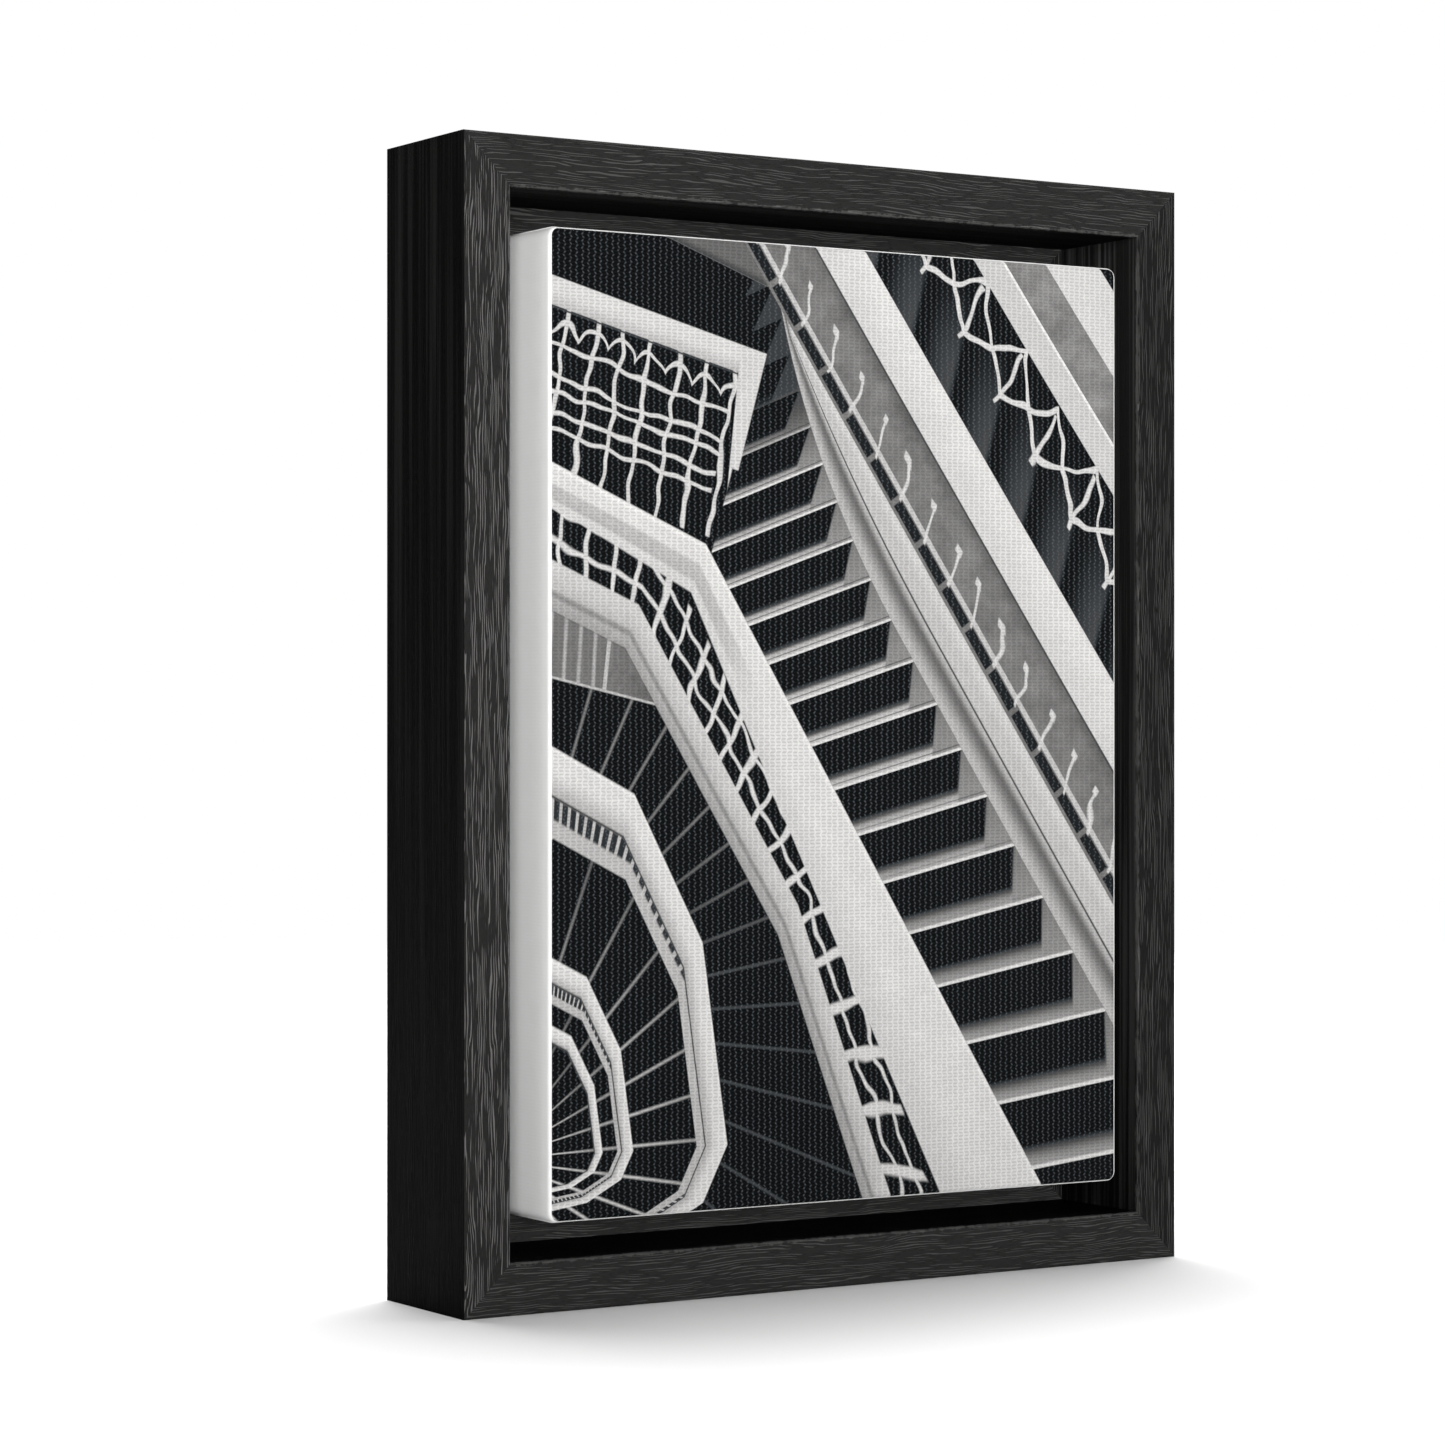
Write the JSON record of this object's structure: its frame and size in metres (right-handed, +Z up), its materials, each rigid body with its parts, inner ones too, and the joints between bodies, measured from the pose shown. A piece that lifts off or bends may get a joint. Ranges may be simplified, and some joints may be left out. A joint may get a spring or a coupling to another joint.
{
  "type": "framed stretched canvas",
  "caption": "Small portrait stretched canvas on tongued pine bars, floating in a black stained L-shaped wooden frame, with a sawtooth hanger behind.",
  "frame": {"origin": "middle of the frame's bottom edge, at half the model's whole depth", "axes": "the picture faces -Y, +X is to its right when it is looked at, +Z is up and +Y points to the wall"},
  "size_m": [0.1594, 0.034, 0.2102],
  "materials": {
    "stained_wood": "black stain with the grain showing, satin",
    "bare_pine": "planed, unfinished",
    "canvas_cloth": "primed cotton canvas with a matt black and white print",
    "wedge_steel": "plain steel strip",
    "zinc_steel": "zinc plated",
    "staple_wire": "galvanised wire",
    "hanger_steel": "pressed plated strip",
    "brass_nail": "brassed",
    "clear_rubber": "soft translucent pad"
  },
  "bodies": {
    "root": {"frame_rail_top": "stained_wood", "frame_rail_bottom": "stained_wood", "frame_stile_left": "stained_wood", "frame_stile_right": "stained_wood", "stretcher_bar_top": "bare_pine", "stretcher_bar_bottom": "bare_pine", "stretcher_bar_left": "bare_pine", "stretcher_bar_right": "bare_pine", "canvas": "canvas_cloth", "wedge_nails_top_left": "wedge_steel", "wedge_nails_top_right": "wedge_steel", "wedge_nails_bottom_left": "wedge_steel", "wedge_nails_bottom_right": "wedge_steel", "mounting_screw_top_left": "zinc_steel", "mounting_screw_top_right": "zinc_steel", "mounting_screw_bottom_left": "zinc_steel", "mounting_screw_bottom_right": "zinc_steel", "staples_top": "staple_wire", "staples_bottom": "staple_wire", "staples_left": "staple_wire", "staples_right": "staple_wire", "sawtooth_hanger": "hanger_steel", "hanger_nail_left": "brass_nail", "hanger_nail_right": "brass_nail", "wall_bumper_left": "clear_rubber", "wall_bumper_right": "clear_rubber"}
  },
  "joints": []
}
